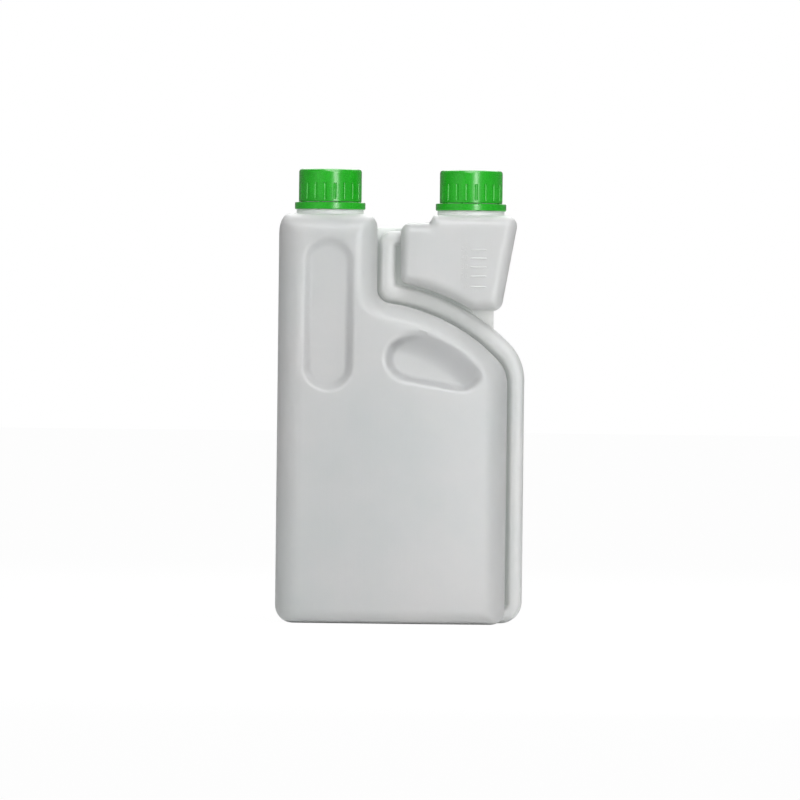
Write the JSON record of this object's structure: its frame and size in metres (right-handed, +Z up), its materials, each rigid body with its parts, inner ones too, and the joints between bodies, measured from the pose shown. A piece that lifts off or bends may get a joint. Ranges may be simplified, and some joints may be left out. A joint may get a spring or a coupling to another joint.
{
  "type": "dosing bottle",
  "caption": "Blow-moulded twin-neck dosing bottle: a main chamber feeds a side channel that rises over the shoulder into a small dosing chamber, each neck closed by a fluted screw cap.",
  "frame": {"origin": "centre of the base, on the surface that the bottle stands on", "axes": "+Z up along the neck axes, -Y towards the front, +X from the filling neck towards the dosing neck; the bottle is symmetrical about the XZ plane"},
  "size_m": [0.117, 0.069, 0.215],
  "materials": {
    "natural_plastic": "translucent milky blown polyethylene, satin",
    "green_plastic": "moulded bright green polypropylene, soft gloss",
    "liner_foam": "white foamed sealing disc"
  },
  "bodies": {
    "body": {"bottle": "natural_plastic", "main_tamper_ring": "green_plastic", "dosing_tamper_ring": "green_plastic"},
    "main_liner_body": {"main_liner": "liner_foam"},
    "main_cap_body": {"main_cap": "green_plastic"},
    "dosing_liner_body": {"dosing_liner": "liner_foam"},
    "dosing_cap_body": {"dosing_cap": "green_plastic"}
  },
  "joints": [
    {"name": "main_cap_lift", "type": "slide", "parent": "body", "child": "main_liner_body", "axis": [0, 0, 1], "range_m": [0, 0.0105]},
    {"name": "main_cap_turn", "type": "hinge", "parent": "main_liner_body", "child": "main_cap_body", "pos_m": [-0.0346, 0, 0.207], "axis": [0, 0, 1], "range_deg": [0, 900]},
    {"name": "dosing_cap_lift", "type": "slide", "parent": "body", "child": "dosing_liner_body", "axis": [0, 0, 1], "range_m": [0, 0.0105]},
    {"name": "dosing_cap_turn", "type": "hinge", "parent": "dosing_liner_body", "child": "dosing_cap_body", "pos_m": [0.0323, 0, 0.207], "axis": [0, 0, 1], "range_deg": [0, 900]}
  ],
  "couplings": [
    {"joint": "main_cap_lift", "follows": "main_cap_turn", "m_per_rad": 0.00066845},
    {"joint": "dosing_cap_lift", "follows": "dosing_cap_turn", "m_per_rad": 0.00066845}
  ]
}
